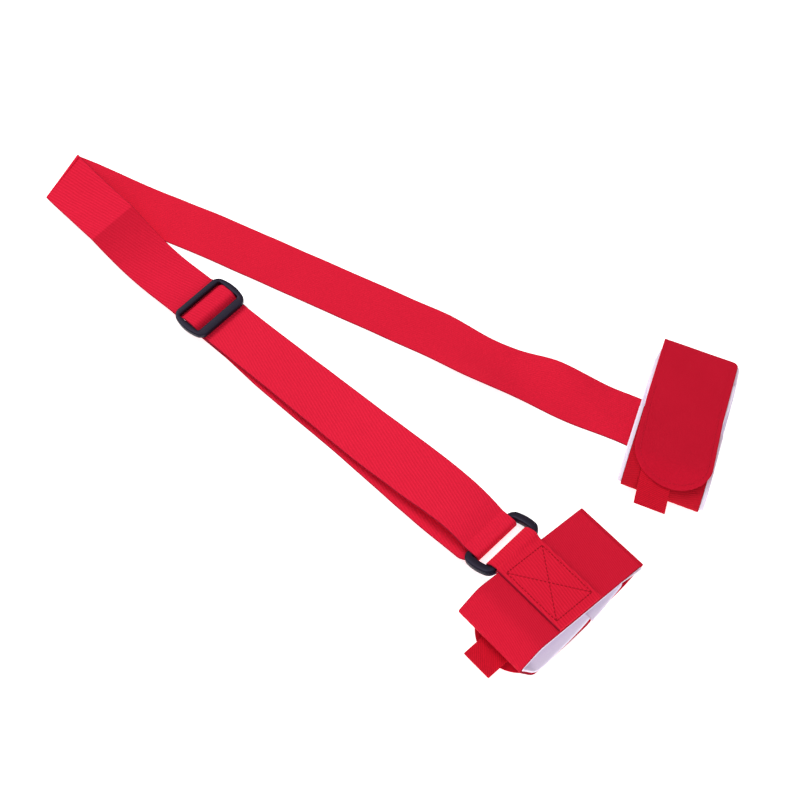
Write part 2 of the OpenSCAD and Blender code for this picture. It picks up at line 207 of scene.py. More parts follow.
def bend(piece, body, far_body, ends, *nodes):
    """Keeps a piece where it lies, its place baked into its mesh, in place of the nodes; it is not
    bent.
    """
    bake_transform(piece)
    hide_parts(*nodes)


def tube_faces(n, k):
    """Quads round a strip of n loops with k points, closed by rungs between its two sides."""
    faces = []
    for i in range(n - 1):
        a, b = i * k, (i + 1) * k
        faces += [(a + j, a + (j + 1) % k, b + (j + 1) % k, b + j) for j in range(k)]
    m = k // 2 + 1
    for base, turn in ((0, -1), ((n - 1) * k, 1)):
        for j in range(m - 1):
            rung = [base + j, base + j + 1, base + (k - j - 1) % k, base + (k - j) % k]
            faces.append(tuple(dict.fromkeys(rung))[::turn])
    return faces


def ribbon(name, surface, s, material, slot, width=WEB_W, thick=WEB_T, relief=None, under=None,
           pitch=0.65, start=0.0):
    """A closed strip of fabric with rounded edges.

    surface(s, v) gives points of its middle surface, s along it and v across. relief(s, v) is
    added to its upper face and under(s, v) to its lower one. Points lie pitch apart across it,
    and start is the weave's place along the cloth at s = 0.
    """
    s = np.asarray(s, float)
    half = (width(s) if callable(width) else np.full(len(s), width)) / 2
    turn = np.radians([0, 25, 50, 75, 90])
    inset = thick / 2 * (1 - np.cos(turn))
    count = max(6, int(round(half.max() * 2 / pitch)))
    inner = np.linspace(-1, 1, count)
    edge = np.minimum(inset[None, :], half[:, None] * 0.45)
    flat = (half - edge[:, -1])[:, None] * inner[None, :]
    v = np.hstack([-(half[:, None] - edge[:, :-1]), flat, (half[:, None] - edge[:, -2::-1])])
    profile = thick / 2 * np.sin(turn)
    h = np.concatenate([profile[:-1], np.full(count, thick / 2), profile[-2::-1]])
    grid_s = np.repeat(s[:, None], v.shape[1], axis=1)
    mid = surface(grid_s, v)
    ds, dv = np.gradient(mid, axis=0), np.gradient(mid, axis=1)
    normal = np.cross(ds, dv)
    normal /= np.linalg.norm(normal, axis=2, keepdims=True) + 1e-12
    fade = (h / (thick / 2)) ** 2
    up = h + (relief(grid_s, v) * fade if relief is not None else 0.0)
    down = h + (under(grid_s, v) * fade if under is not None else 0.0)
    top = mid + normal * (up * np.ones_like(v))[:, :, None]
    low = mid - normal * (down * np.ones_like(v))[:, :, None]
    m = v.shape[1]
    verts = np.concatenate([top, low[:, m - 2:0:-1]], axis=1)
    k = verts.shape[1]
    uv_v = np.concatenate([v, v[:, m - 2:0:-1]], axis=1)
    uv_s = np.repeat((s + start)[:, None], k, axis=1)
    uv = np.stack([uv_s, uv_v], axis=2).reshape(-1, 2)
    faces = [f[::-1] for f in tube_faces(len(s), k)]
    return build(name, verts.reshape(-1, 3), faces, uv, material)


def stitches(name, lines, material, pitch=3.3, length=3.15, wide=0.9, high=0.6):
    """Sewing thread along lines of points, each given as (points, normals), in one mesh."""
    verts, faces, uv = [], [], []
    ring, rows = 8, 5
    for points, normals in lines:
        points, normals = np.asarray(points, float), np.asarray(normals, float)
        run = np.concatenate([[0], np.cumsum(np.linalg.norm(np.diff(points, axis=0), axis=1))])
        count = max(1, int(run[-1] // pitch))
        for i in range(count):
            at = (i + 0.5) / count * run[-1]
            ends = [np.array([np.interp(d, run, points[:, k]) for k in range(3)])
                    for d in (at - length / 2, at, at + length / 2)]
            n = unit(np.array([np.interp(at, run, normals[:, k]) for k in range(3)]))
            t = unit(ends[2] - ends[0])
            side = np.cross(n, t)
            first = len(verts)
            for r in range(rows):
                x = -1 + 2 * r / (rows - 1)
                size = math.sqrt(max(0.05, 1 - x * x * 0.96))
                for a in range(ring):
                    ang = 2 * math.pi * a / ring
                    verts.append(ends[1] + t * x * length / 2
                                 + side * math.cos(ang) * wide / 2 * size
                                 + n * (math.sin(ang) * high / 2 * size - 0.1 * x * x))
                    uv.append((x * length / 2, ang * 0.2))
            for r in range(rows - 1):
                for a in range(ring):
                    b = (a + 1) % ring
                    faces.append((first + r * ring + a, first + r * ring + b,
                                  first + (r + 1) * ring + b, first + (r + 1) * ring + a))
            faces.append(tuple(first + a for a in range(ring))[::-1])
            faces.append(tuple(first + (rows - 1) * ring + a for a in range(ring)))
    return build(name, verts, faces, uv, material)


# ---- procedural materials ----


class Field:
    """A number that varies over a surface, built from math nodes."""

    def __init__(self, tree, socket):
        self.tree, self.socket = tree, socket

    def math(self, operation, *others):
        node = self.tree.nodes.new("ShaderNodeMath")
        node.operation = operation
        for slot, value in zip(node.inputs, (self, *others)):
            if isinstance(value, Field):
                self.tree.links.new(value.socket, slot)
            else:
                slot.default_value = value
        return Field(self.tree, node.outputs[0])

    def __add__(self, other):
        return self.math("ADD", other)

    def __sub__(self, other):
        return self.math("SUBTRACT", other)

    def __mul__(self, other):
        return self.math("MULTIPLY", other)

    def wave(self):
        """A wave between 0 and 1, once for each unit of the number."""
        return (self * (2 * math.pi)).math("SINE") * 0.5 + 0.5

    def clamped(self):
        """The number held between 0 and 1."""
        return self.math("MAXIMUM", 0.0).math("MINIMUM", 1.0)


def srgb(r, g, b):
    """A colour given as it looks on a screen, as the linear values that nodes use."""
    linear = [((c / 255 + 0.055) / 1.055) ** 2.4 if c > 10 else c / 255 / 12.92
              for c in (r, g, b)]
    return linear + [1.0]


def shader(name):
    mat = bpy.data.materials.new(name)
    mat.use_nodes = True
    tree = mat.node_tree
    tree.nodes.clear()
    out = tree.nodes.new("ShaderNodeOutputMaterial")
    bsdf = tree.nodes.new("ShaderNodeBsdfPrincipled")
    tree.links.new(bsdf.outputs[0], out.inputs[0])
    return mat, tree, bsdf


def noise(tree, vector, scale, detail=3.0):
    node = tree.nodes.new("ShaderNodeTexNoise")
    node.inputs["Scale"].default_value = scale
    node.inputs["Detail"].default_value = detail
    tree.links.new(vector, node.inputs["Vector"])
    return Field(tree, node.outputs[0])


def mixed(tree, factor, a, b):
    """From colour a to colour b; the node's colour sockets are inputs 6 and 7 and output 2."""
    node = tree.nodes.new("ShaderNodeMix")
    node.data_type = "RGBA"
    tree.links.new(factor.socket, node.inputs[0])
    for slot, value in ((6, a), (7, b)):
        if isinstance(value, list):
            node.inputs[slot].default_value = value
        else:
            tree.links.new(value, node.inputs[slot])
    return node.outputs[2]


def bumped(tree, bsdf, height, distance, strength=1.0):
    node = tree.nodes.new("ShaderNodeBump")
    node.inputs["Strength"].default_value = strength
    node.inputs["Distance"].default_value = distance * MM
    tree.links.new(height.socket, node.inputs["Height"])
    tree.links.new(node.outputs[0], bsdf.inputs["Normal"])


def weave(tree):
    """The cloth's own millimetres, and the object's space."""
    uv = tree.nodes.new("ShaderNodeUVMap")
    uv.uv_map = "weave"
    return uv.outputs[0], tree.nodes.new("ShaderNodeTexCoord").outputs["Object"]


def brushed(bsdf, specular, sheen, spread, tint):
    """Gives a surface the soft shine of fibres."""
    bsdf.inputs["Specular IOR Level"].default_value = specular
    bsdf.inputs["Sheen Weight"].default_value = sheen
    bsdf.inputs["Sheen Roughness"].default_value = spread
    bsdf.inputs["Sheen Tint"].default_value = srgb(*tint)


# the second colour is painted shade, laid on the strap past its crease
SELVEDGE, PAINTED_SHADE = (96, 8, 34), (168, 4, 28)


def cloth(name, bright, dark, pitch, slant, yarn=0.9, contrast=0.6, depth=0.22, rough=0.78,
          sheen=0.08, fuzz=0.35, mottle=0.25, edge=None, crease=None):
    """Woven fabric: slanted ribs, fine yarns across them, fibre noise and uneven colour.

    pitch is the distance between ribs and slant their angle to the strip's length, in degrees.
    The selvedges, at edge from the middle, are dark. From crease on the cloth is painted darker,
    standing for the shade where the strap slopes away from the light, and it recovers further
    along.
    """
    mat, tree, bsdf = shader(name)
    uv, space = weave(tree)
    split = tree.nodes.new("ShaderNodeSeparateXYZ")
    tree.links.new(uv, split.inputs[0])
    u, v = Field(tree, split.outputs[0]), Field(tree, split.outputs[1])
    wander = noise(tree, uv, 0.05, 2.0) - 0.5
    d = way(slant)
    ribs = ((v * d[0] + u * d[1]) * (1 / pitch) + wander * 0.9).wave()
    yarns = (u * (1 / yarn) + ribs * 0.5).wave()
    warp = (v * (1 / (yarn * 0.62))).wave()
    fibre = noise(tree, uv, 2.6, 4.0)
    height = ribs * 0.55 + yarns * 0.22 + warp * 0.13 + fibre * fuzz
    patches = noise(tree, space, 22.0)
    tone = ribs * contrast + yarns * 0.12 + (fibre - 0.5) * 0.5
    tone = tone + (patches - 0.5) * mottle + (1 - contrast) * 0.8
    colour = mixed(tree, tone.clamped(), srgb(*dark), srgb(*bright))
    if edge:
        selvedge = (v.math("ABSOLUTE") - (edge - 0.75)) * (1 / 0.6)
        colour = mixed(tree, selvedge.clamped() * 0.75, colour, srgb(*SELVEDGE))
    # painted shade: past the crease the colour darkens, standing for the strap sloping away from
    # the light
    if crease:
        past = (u - crease).math("MAXIMUM", 0.0)
        onset = (past * 0.7).math("MINIMUM", 1.0)
        recovery = (past * (-1 / 80) + 1).math("MAXIMUM", 0.0)
        colour = mixed(tree, onset * recovery * 0.4, colour, srgb(*PAINTED_SHADE))
    tree.links.new(colour, bsdf.inputs["Base Color"])
    wear = fibre * 0.16 + ribs * -0.06 + rough
    tree.links.new(wear.socket, bsdf.inputs["Roughness"])
    brushed(bsdf, 0.12, sheen, 0.45, bright)
    bumped(tree, bsdf, height, depth)
    return mat


def felt(name, bright, dark, scale=1.1, depth=0.3, rough=0.9, sheen=0.08, mottle=0.5):
    """Brushed or foamed fabric: fine random fibres with no ribs."""
    mat, tree, bsdf = shader(name)
    uv, space = weave(tree)
    fine = noise(tree, uv, scale, 5.0)
    grain = noise(tree, uv, scale * 3.1)
    patches = noise(tree, space, 30.0)
    tone = fine * 0.5 + grain * 0.35 + (patches - 0.5) * mottle + 0.1
    colour = mixed(tree, tone.clamped(), srgb(*dark), srgb(*bright))
    tree.links.new(colour, bsdf.inputs["Base Color"])
    tree.links.new((grain * 0.15 + (rough - 0.07)).socket, bsdf.inputs["Roughness"])
    brushed(bsdf, 0.1, sheen, 0.5, bright)
    bumped(tree, bsdf, fine * 0.7 + grain * 0.5, depth)
    return mat


def plastic(name):
    """Black moulded plastic: faint flow marks, fine grain and edges rubbed a little lighter."""
    mat, tree, bsdf = shader(name)
    geometry = tree.nodes.new("ShaderNodeNewGeometry")
    space = tree.nodes.new("ShaderNodeTexCoord").outputs["Object"]
    grain = noise(tree, space, 1800.0)
    flow = noise(tree, space, 90.0, 4.0)
    rubbed = Field(tree, geometry.outputs["Pointiness"]).math("SUBTRACT", 0.5) * 6.0
    tone = rubbed + (flow - 0.5) * 0.6 + 0.35
    colour = mixed(tree, tone.clamped(), srgb(20, 14, 24), srgb(36, 29, 44))
    tree.links.new(colour, bsdf.inputs["Base Color"])
    tree.links.new((flow * 0.18 + grain * 0.12 + 0.26).socket, bsdf.inputs["Roughness"])
    bsdf.inputs["Specular IOR Level"].default_value = 0.16
    bsdf.inputs["Specular Tint"].default_value = (0.72, 0.68, 1.0, 1.0)
    bumped(tree, bsdf, grain * 0.3 + flow * 0.7, 0.12, 0.5)
    return mat


# the strap's cloth carries painted shade past the upper leg's crease
STRAP = cloth("strap_webbing", (229, 27, 61), (194, 8, 36), 2.7, -12.0, contrast=0.42,
              edge=WEB_W / 2, crease=TURN_LEN + CREASE_X)
STRAP_FAR = cloth("strap_webbing_long_leg", (224, 26, 56), (203, 14, 42), 1.9, 4.0,
                  contrast=0.35, edge=WEB_W / 2)
RUN = cloth("strap_webbing_run", (232, 30, 62), (202, 14, 42), 2.5, 18.0, contrast=0.4,
            edge=WEB_W / 2)
TAB = cloth("tab_webbing", (228, 26, 56), (194, 10, 36), 2.6, 10.0, contrast=0.4, edge=WEB_W / 2)
BAND = cloth("cuff_webbing", (216, 22, 52), (188, 12, 38), 1.8, 76.0, yarn=0.8, contrast=0.45,
             edge=CUFF_W / 2)
# painted shade: the second cuff's band is the cuff webbing made darker, standing for the shadow
# under its flap
BAND_B_PAINTED_SHADE = cloth("cuff_webbing_b_painted_shade", (196, 14, 38), (166, 6, 28), 1.8, 76.0, yarn=0.8, contrast=0.45,
               edge=CUFF_W / 2)
FLAP = felt("flap_fabric", (206, 20, 48), (184, 12, 38))
LINING = felt("lining_foam", (253, 243, 255), (230, 218, 244), scale=0.8, depth=0.18,
              mottle=0.25)
# the pull ribbon's dark red is partly its own colour and partly painted shade for the tabs lying
# under the flaps
RIBBON = cloth("pull_ribbon", (210, 14, 42), (164, 4, 24), 1.5, 45.0, yarn=0.7, contrast=0.6)
HOOK = felt("hook_tape", (170, 16, 40), (110, 4, 20), scale=1.6, depth=0.5, rough=0.6, sheen=0.0)
LOOP = felt("loop_tape", (186, 20, 48), (140, 8, 28), scale=1.0, depth=0.6, sheen=0.5)
FLAP_THREAD = cloth("flap_thread", (200, 20, 48), (168, 10, 36), 0.35, 40.0, yarn=0.4, depth=0.08)
THREAD = cloth("thread", (172, 10, 32), (112, 2, 16), 0.35, 40.0, yarn=0.4, depth=0.08)
BLACK = plastic("buckle_plastic")


# ---- relief for ribbons, and middle surfaces that follow a path ----


def ribs(pitch, slant, high):
    """Raised slanted ribs."""
    d = way(slant)

    def relief(s, v):
        return high * np.sin(2 * math.pi * (v * d[0] + s * d[1]) / pitch)

    return relief


def grooves(lines, deep=0.38, wide=1.3):
    """Relief pressed in along straight lines given as (s, v) pairs."""
    def relief(s, v):
        out = np.zeros_like(s + v)
        for a, b in lines:
            a, b = np.array(a, float), np.array(b, float)
            d = b - a
            t = np.clip(((s - a[0]) * d[0] + (v - a[1]) * d[1]) / (d @ d), 0, 1)
            far = np.hypot(s - a[0] - t * d[0], v - a[1] - t * d[1])
            out = np.minimum(out, -deep * np.exp(-(far / wide) ** 2))
        return out

    return relief


def both(*parts):
    return lambda s, v: sum(part(s, v) for part in parts)


def follow(path):
    """The point of a path at each distance along it, as a function, and the path's length."""
    points, run = evenly(path, 0.4)
    return lambda s: (np.interp(s, run, points[:, 0]), np.interp(s, run, points[:, 1])), run[-1]


def strip_on(place, path):
    """A middle surface that follows a path in a frame's x-z plane, and its length."""
    at, length = follow(path)

    def surface(s, v):
        x, z = at(s)
        return place(np.stack([x, v, z], axis=-1))

    return surface, length


def cuff_on(place, path):
    """The same for a band across a cuff, whose path lies in the y-z plane."""
    at, length = follow(path)

    def surface(s, v):
        y, z = at(s)
        return place(np.stack([-v, y, z], axis=-1))

    return surface, length


def webbing(name, surface, s, material, weave_ribs, **more):
    """A strip of the strap, with the same ribs on both faces."""
    return ribbon(name, surface, s, material, "strap_webbing", relief=weave_ribs,
                  **{"under": weave_ribs, **more})


leg_ribs, long_ribs, run_ribs = ribs(2.7, -12, 0.065), ribs(1.9, 4, 0.04), ribs(2.5, 18, 0.06)
tab_ribs, band_ribs = ribs(2.6, 10, 0.08), ribs(1.8, 76, 0.06)


# ---- the long leg, the shoulder fold and the upper leg as far as its crease ----

LEG_LEAD = 12
leg_way = way(LEG_YAW)
leg_side = left(leg_way)


def leg_at(s):
    return s * leg_way + LEG_SHIFT * math.cos(math.radians(LEG_YAW)) * leg_side


LEG_END = leg_at(LEG_LEN)
leg_plan, leg_run = evenly(rounded([
    leg_at(-LEG_LEAD) - 11.2 * leg_side, leg_at(88) - 2.2 * leg_side, leg_at(150),
    leg_at(LEG_LEN + 80)], [40, 28], n=24), 1.0)
leg_run = leg_run - LEG_LEAD
upper_plan, _ = evenly(rounded([
    [-30, 0.1], [138, -9.4], [184.5, -6.93], [260, -5.55]], 24, n=24), 1.0)


def slope_line(points):
    """Heights along the upper leg, joined by short rounded corners."""
    return evenly(rounded(points, [6, 1.5, 14, 14], n=12), 0.5)[0]


near_edge = slope_line([[-40, FOLD_NEAR_Z], [8, FOLD_NEAR_Z], [CREASE_X, 7.8], [100, 4.4],
                        [150, UNDER_Z], [240, UNDER_Z]])
far_edge = slope_line([[-40, FOLD_FAR_Z], [26, 13.6], [CREASE_X, 16.0], [104, 8.6],
                       [150, UNDER_Z], [240, UNDER_Z]])


def across(v):
    """From 0 at the near edge of the strap to 1 at its far edge."""
    return np.clip((v + WEB_W / 2) / WEB_W, 0, 1)


def fold_r(v):
    """Radius of the shoulder fold, which is tight all the way across."""
    return 1.3 + 0.4 * across(v)


def fold_lift(s, v):
    """How far the fold holds the long leg's far edge up off the table."""
    return FOLD_RISE * across(v) * (1 - ease((s + 6) / 104))


def plan_point(plan, run, s, v):
    """Points beside a plan curve, with v to its left."""
    x, y = np.interp(s, run, plan[:, 0]), np.interp(s, run, plan[:, 1])
    tx, ty = np.gradient(plan[:, 0], run), np.gradient(plan[:, 1], run)
    wx, wy = np.interp(s, run, tx), np.interp(s, run, ty)
    size = np.hypot(wx, wy)
    return x - v * wy / size, y + v * wx / size


def lower_leg(s, v):
    """Middle surface of the long leg, with two waves that lift its edges before the cuff."""
    back = FOLD_BACK + fold_r(v)
    a = math.radians(LEG_YAW - FOLD_YAW)
    first = (back + v * math.sin(a)) / math.cos(a)
    run = s + first * (1 - ease(s / 70))
    slip = -5.5 * hump(s, 452, 62) - 3.2 * hump(s, 532, 60)
    x, y = plan_point(leg_plan, leg_run, np.maximum(run, 0.0), v + slip)
    before = np.minimum(run, 0.0)
    x, y = x + before * leg_way[0], y + before * leg_way[1]
    near, far = ease((10 - v) / 40), ease((v + 15) / 40)
    lift = 7.5 * near * hump(s, 452, 60) + 7.5 * far * hump(s, 520, 52)
    lift = lift + fold_lift(s, v)
    lift = lift + 0.35 * (1 + ripple(s, v * 0.3, 3)) * ease(s / 120) * ease((LEG_LEN - 8 - s) / 60)
    return np.stack([x, y, WEB_T / 2 + lift], axis=-1)


def upper_leg(s, v):
    """Middle surface of the upper leg; s is close to its distance from the fold."""
    back = FOLD_BACK + fold_r(v)
    a = math.radians(FOLD_YAW + 2.9)
    first = (back - v * math.sin(a)) / math.cos(a)
    run = s + first * (1 - ease(s / 45))
    x, y = plan_point(upper_plan, upper_plan[:, 0], run, v)
    low = np.interp(run, near_edge[:, 0], near_edge[:, 1])
    high = np.interp(run, far_edge[:, 0], far_edge[:, 1])
    at_fold = WEB_T / 2 + fold_lift(0, v) + 2 * fold_r(v)
    straight = FOLD_NEAR_Z + (FOLD_FAR_Z - FOLD_NEAR_Z) * across(v)
    z = low + (high - low) * across(v)
    z = z + (at_fold - straight) * (1 - ease(s / 12))
    z = z + 0.25 * ripple(run, v, 5) * ease(s / 40) * ease((170 - s) / 40)
    return np.stack([x, y, z], axis=-1)


def shoulder(s, v):
    """The whole strip: s runs from the second cuff (negative) through the fold to the slider."""
    low, up = lower_leg(np.maximum(-s, 0), v), upper_leg(np.maximum(s - TURN_LEN, 0), v)
    phi = np.clip(s / TURN_LEN, 0, 1)
    r = fold_r(v)
    c, t = math.cos(math.radians(FOLD_YAW)), math.sin(math.radians(FOLD_YAW))
    bow = r * np.sin(math.pi * phi)
    start, end = low[..., :2], up[..., :2]
    flat = start + (end - start) * phi[..., None]
    arc = np.stack([flat[..., 0] - bow * c, flat[..., 1] - bow * t,
                    low[..., 2] + r * (1 - np.cos(math.pi * phi))], axis=-1)
    inside = ((s > 0) & (s < TURN_LEN))[..., None]
    return np.where(inside, arc, np.where((s <= 0)[..., None], low, up))


LEG_STOP = LEG_LEN - 40
FINE_STEP, COARSE_STEP = 0.8, 1.5
stations = np.concatenate([
    np.arange(-LEG_STOP, -20, COARSE_STEP), np.arange(-20, 0, FINE_STEP),
    np.linspace(0, TURN_LEN, 21), np.arange(TURN_LEN + 0.4, TURN_LEN + 12, FINE_STEP),
    np.linspace(TURN_LEN + 12, TURN_LEN + HANDOVER_X, 36)])
shoulder_strap = webbing("strap_shoulder", shoulder, stations, STRAP_FAR, leg_ribs,
                         under=long_ribs)

# past the fold the strap shows its other face, whose weave slants the other way
shoulder_strap.data.materials.append(STRAP)
per_loop = len(shoulder_strap.data.vertices) // len(stations)
first_upper = int(np.searchsorted(stations, TURN_LEN / 2)) * per_loop
last_upper = (len(stations) - 1) * per_loop
shoulder_strap.data.polygons.foreach_set("material_index", [
    1 if first_upper <= i < last_upper else 0
    for i in range(len(shoulder_strap.data.polygons))])
fold_tilt = math.atan2(FOLD_RISE + 0.4, WEB_W)
fold_up = np.array([0, -math.sin(fold_tilt), math.cos(fold_tilt)])
fold_mid = np.array([FOLD_BACK, 0, WEB_T / 2 + FOLD_RISE / 2 + 1.5])
along_fold = turned((0, 0, 0), FOLD_YAW)
bend(shoulder_strap, "long_leg", "slider_leg",
     along_fold([fold_mid - fold_up, fold_mid + fold_up]), "webbing_long_leg",
     "webbing_shoulder_fold")

SLIDER = turned((*SLIDER_AT, 0), RUN_YAW)
leg_end_x = SLIDER_AT[0] - BEND_X * math.cos(math.radians(RUN_YAW))
slider_leg = webbing("strap_slider_leg", upper_leg, np.linspace(HANDOVER_X, leg_end_x, 84), STRAP,
                     leg_ribs, start=TURN_LEN)
bend(slider_leg, "slider_leg", "slider", SLIDER([[-BEND_X - 110, 0, 0], [-BEND_X, 0, 0]]),
     "webbing_slider_leg")

# ---- the slider and the strap through it ----

bar_left, bar_right = MID_BAR_X - 3.5, MID_BAR_X + 3.5
surface, length = strip_on(SLIDER, rounded([
    [-BEND_X, UNDER_Z], [-SLIDER_L / 2 + THIN_BAR + 1.6, UNDER_Z], [bar_left - 2.9, LOOP_Z + 1.2],
    [bar_left - 0.6, OVER_Z], [bar_right + 1.8, OVER_Z], [bar_right + 5, LOOP_Z - 1.6],
    [SLIDER_L / 2 - BROAD_BAR - 2.6, UNDER_Z + 0.3], [BEND_X, UNDER_Z]], 2.4))
over_bar = webbing("strap_slider_bend", surface, np.linspace(0, length, 90), STRAP, leg_ribs,
                   start=TURN_LEN + leg_end_x, width=WEB_W + 0.75)
surface, length = strip_on(SLIDER, rounded([
    [44, SEWN_Z], [bar_right + 4.2, SEWN_Z], [bar_right + 0.6, UNDER_Z],
    [bar_left - 0.85, UNDER_Z], [bar_left - 0.85, LOOP_Z], [bar_right + 0.7, LOOP_Z],
    [bar_right + 2.9, LOOP_Z - 2.6], [bar_right + 5.4, TAIL_Z], [38, TAIL_Z]], 1.5))
sewn = webbing("strap_sewn_end", surface, np.linspace(0, length, 160), RUN, run_ribs,
               width=WEB_W + 0.75)
threads = [([SLIDER([x, y, SEWN_Z - WEB_T / 2 - 0.12]) for y in (-21, 21)], [[0, 0, -1]] * 2)
           for x in (24, 33)]
sewn_thread = stitches("sewn_end_thread", threads, THREAD)
fix(over_bar, "slider", "webbing_slider_bend")
fix(sewn, "slider", "webbing_sewn_end")
fix(sewn_thread, "slider", "sewn_end_stitching")


def outline(x0, x1, half, bow, corner, n=10, m=16):
    """Closed outline of a rounded rectangle whose two ends across the strap bow outwards.

    It has n points round each corner and m along each side.
    """
    hx, hy = (x1 - x0) / 2, half - bow
    arcs = []
    for turn, sx, sy in ((0, 1, 1), (90, -1, 1), (180, -1, -1), (270, 1, -1)):
        a = np.radians(np.linspace(turn, turn + 90, n))
        arcs.append(np.column_stack([sx * (hx - corner) + corner * np.cos(a),
                                     sy * (hy - corner) + corner * np.sin(a)]))
    t = np.linspace(0, 1, m + 2)[1:-1, None]
    p = np.vstack([part for arc, after in zip(arcs, arcs[1:] + arcs[:1])
                   for part in (arc, arc[-1] + (after[0] - arc[-1]) * t)])
    p[:, 1] += np.sign(p[:, 1]) * bow * (1 - (p[:, 0] / hx) ** 2) * np.abs(p[:, 1] / hy) ** 4
    p[:, 0] += (x0 + x1) / 2
    return p


def moulded_frame(name, place, outer, inner, low, high, power, rows=24):
    """A frame between two outlines, with a rounded cross-section of rows points.

    The cross-section is an ellipse at power 2, and squarer the higher power is.
    """
    verts, uv = [], []
    a = np.arange(rows) * 2 * math.pi / rows
    c = np.sign(np.cos(a)) * np.abs(np.cos(a)) ** (2 / power)
    d = np.sign(np.sin(a)) * np.abs(np.sin(a)) ** (2 / power)
    for o, i in zip(outer, inner):
        mid = (o + i) / 2
        for x, z in zip(c, d):
            at = mid + (o - i) / 2 * x
            verts.append((at[0], at[1], (low + high) / 2 + (high - low) / 2 * z))
            uv.append(at)
    n = len(outer)
    faces = [(i * rows + j, ((i + 1) % n) * rows + j, ((i + 1) % n) * rows + (j + 1) % rows,
              i * rows + (j + 1) % rows) for i in range(n) for j in range(rows)]
    return build(name, place(np.array(verts)), faces, uv, BLACK)


slider_body = moulded_frame(
    "slider_frame", SLIDER, outline(-SLIDER_L / 2, SLIDER_L / 2, SLIDER_W / 2, 4.5, 5.5),
    outline(-SLIDER_L / 2 + THIN_BAR + 1, SLIDER_L / 2 - BROAD_BAR - 1, WEB_W / 2 + 0.4, 0.1, 2.0),
    SLIDER_Z, SLIDER_Z + SLIDER_T + 0.4, 6.0)
surface, _ = strip_on(SLIDER, [[bar_left, SLIDER_Z + 1.4], [bar_right, SLIDER_Z + 1.4]])
slider_bar = ribbon("slider_middle_bar", surface, np.linspace(0, 7, 15), BLACK, "buckle_plastic",
                    width=53.5, thick=2.8, pitch=3)
fix(slider_body, "slider", "slider")
fix(slider_bar, "slider", "slider")

# ---- the doubled leg, the ring and its bight ----

BAR = turned(STRAP_BAR, roll=RING_ROLL)


def run_on(path, drift=0.0, near_sag=0.0, far_sag=0.0):
    """A run of the doubled leg, turning from the slider's frame into the ring's.

    Away from the slider it lies off to one side by drift, and each of its edges sags by its own
    amount.
    """
    at, length = follow(path)

    def surface(s, v):
        x, z = at(s)
        v = v + 0 * s
        loose = ease((x - 60) / 170) * ease((RUN_LEN - 12 - x) / 75)
        z = z - loose * (near_sag + (far_sag - near_sag) * across(v))
        aside = 0.35 * ease((x - 30) / 70) + 0.65 * ease((x - 170) / 140)
        v = v + drift * aside * (SKEW + (1 - SKEW) * ease((RUN_LEN - BIGHT_BACK - x) / 45))
        a = SLIDER(np.stack([x, v, z], axis=-1))
        b = BAR(np.stack([x - RUN_LEN, v, z - STRAP_BAR[2]], axis=-1))
        w = ease((x - RUN_LEN + 150) / 140)[..., None]
        p = a * (1 - w) + b * w
        p[..., 2] += 0.3 * ripple(x, v, 9) * ease((x - 50) / 40) * ease((RUN_LEN - 20 - x) / 40)
        p[..., 2] = np.maximum(p[..., 2], WEB_T / 2 + 0.1)
        return p

    return surface, length


end_x = RUN_LEN - BIGHT_BACK
surface, length = run_on(rounded([
    [BEND_X, UNDER_Z], [70, UNDER_Z + 1.6], [190, 18], [270, 23.5], [RUN_LEN - 30, 18.5],
    [end_x, STRAP_BAR[2] + BIGHT_R]], [30, 60, 40, 14], n=12), near_sag=11.0, far_sag=2.0)
front = webbing("strap_front_run", surface, np.linspace(0, length, 215), RUN, run_ribs)
surface, length = run_on(rounded([
    [44, SEWN_Z], [90, SEWN_Z], [150, 1.2], [RUN_LEN - 80, 1.2],
    [end_x, STRAP_BAR[2] - BIGHT_R]], [20, 20, 40], n=12), DRIFT)
back_run = webbing("strap_return_run", surface, np.linspace(0, length, 205), RUN, run_ribs)
run_ends = SLIDER([[BEND_X + 20, 0, 0], [RUN_LEN - 30, 0, 0]])
bend(front, "slider", "ring_bight", run_ends, "webbing_front_run")
bend(back_run, "slider", "ring_bight", run_ends, "webbing_return_run")

turn = [[BIGHT_X + BIGHT_R * math.cos(a), BIGHT_R * math.sin(a)]
        for a in np.radians(np.linspace(90, -90, 25))]
surface, length = strip_on(BAR, np.array([[-BIGHT_BACK, BIGHT_R], *turn, [-BIGHT_BACK, -BIGHT_R]]))
bight = webbing("strap_ring_bight",
                lambda s, v: surface(s, v + SKEW * DRIFT * ease((s / length - 0.5) / 0.5)),
                np.linspace(0, length, 72), RUN, run_ribs)
fix(bight, "ring_bight", "webbing_ring_bight")

RING = turned(STRAP_BAR, roll=RING_ROLL, pitch=-RING_TILT)
half_d = RING_D / 2
ring_body = moulded_frame(
    "ring_frame", RING,
    outline(-half_d - 0.6, BAR_PITCH + half_d + 0.6, RING_W / 2 + 2.7, 3.0, 6.0),
    outline(half_d, BAR_PITCH - half_d, WEB_W / 2 + 1.4, 0.8, 1.6), -3.3, 3.3, 4.5)
fix(ring_body, "ring", "ring")

# ---- the tab that ties the ring to the first cuff ----

CUFF_A = turned(CUFF_A_AT, CUFF_A_YAW)
CUFF_B = turned((LEG_END[0], LEG_END[1], CUFF_B_Z), CUFF_B_YAW)


def top_z(length, u):
    """Height of a cuff's top face, which slopes down to the narrow end."""
    return TIP_Z + (CUFF_H - TIP_Z) * (length - u) / (length - NOSE_U)


